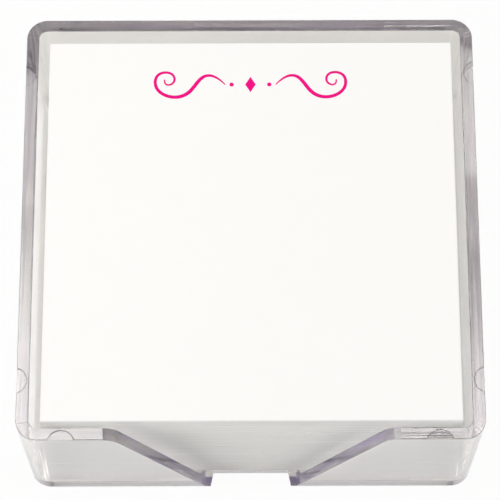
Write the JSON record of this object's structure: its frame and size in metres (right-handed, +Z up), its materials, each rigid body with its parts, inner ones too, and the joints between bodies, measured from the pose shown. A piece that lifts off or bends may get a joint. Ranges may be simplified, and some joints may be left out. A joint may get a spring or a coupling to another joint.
{
  "type": "memo holder",
  "caption": "Clear square desk tray with a V-shaped finger notch in its front wall, holding a pad of loose white memo sheets that lift out through the open top.",
  "frame": {"origin": "on the table under the middle of the tray", "axes": "+Z up, the finger notch faces -Y, +X to the right as seen from the notch"},
  "size_m": [0.1094, 0.1094, 0.0382],
  "materials": {
    "clear_plastic": "polished clear moulding",
    "paper": "uncoated bond"
  },
  "bodies": {
    "tray": {"tray": "clear_plastic"},
    "pad": {"sheet_bundle_01": "paper", "sheet_bundle_02": "paper", "sheet_bundle_03": "paper", "sheet_bundle_04": "paper", "sheet_bundle_05": "paper", "sheet_bundle_06": "paper", "sheet_bundle_07": "paper", "sheet_bundle_08": "paper", "sheet_bundle_09": "paper", "sheet_bundle_10": "paper", "sheet_bundle_11": "paper", "sheet_bundle_12": "paper", "sheet_bundle_13": "paper", "sheet_bundle_14": "paper", "sheet_bundle_15": "paper", "sheet_bundle_16": "paper", "sheet_bundle_17": "paper", "sheet_bundle_18": "paper", "sheet_bundle_19": "paper", "sheet_bundle_20": "paper", "sheet_bundle_21": "paper", "sheet_bundle_22": "paper", "sheet_bundle_23": "paper", "sheet_bundle_24": "paper", "sheet_bundle_25": "paper", "sheet_bundle_26": "paper", "sheet_bundle_27": "paper", "sheet_bundle_28": "paper", "sheet_bundle_29": "paper", "sheet_bundle_30": "paper", "sheet_bundle_31": "paper", "sheet_bundle_32": "paper", "sheet_bundle_33": "paper", "sheet_bundle_34": "paper", "sheet_bundle_35": "paper"},
    "top_sheet": {"top_sheet": "paper"}
  },
  "joints": [
    {"name": "pad_lift", "type": "slide", "parent": "tray", "child": "pad", "axis": [0, 0, 1], "range_m": [0, 0.045]},
    {"name": "sheet_lift", "type": "slide", "parent": "pad", "child": "top_sheet", "axis": [0, 0, 1], "range_m": [0, 0.04]}
  ]
}
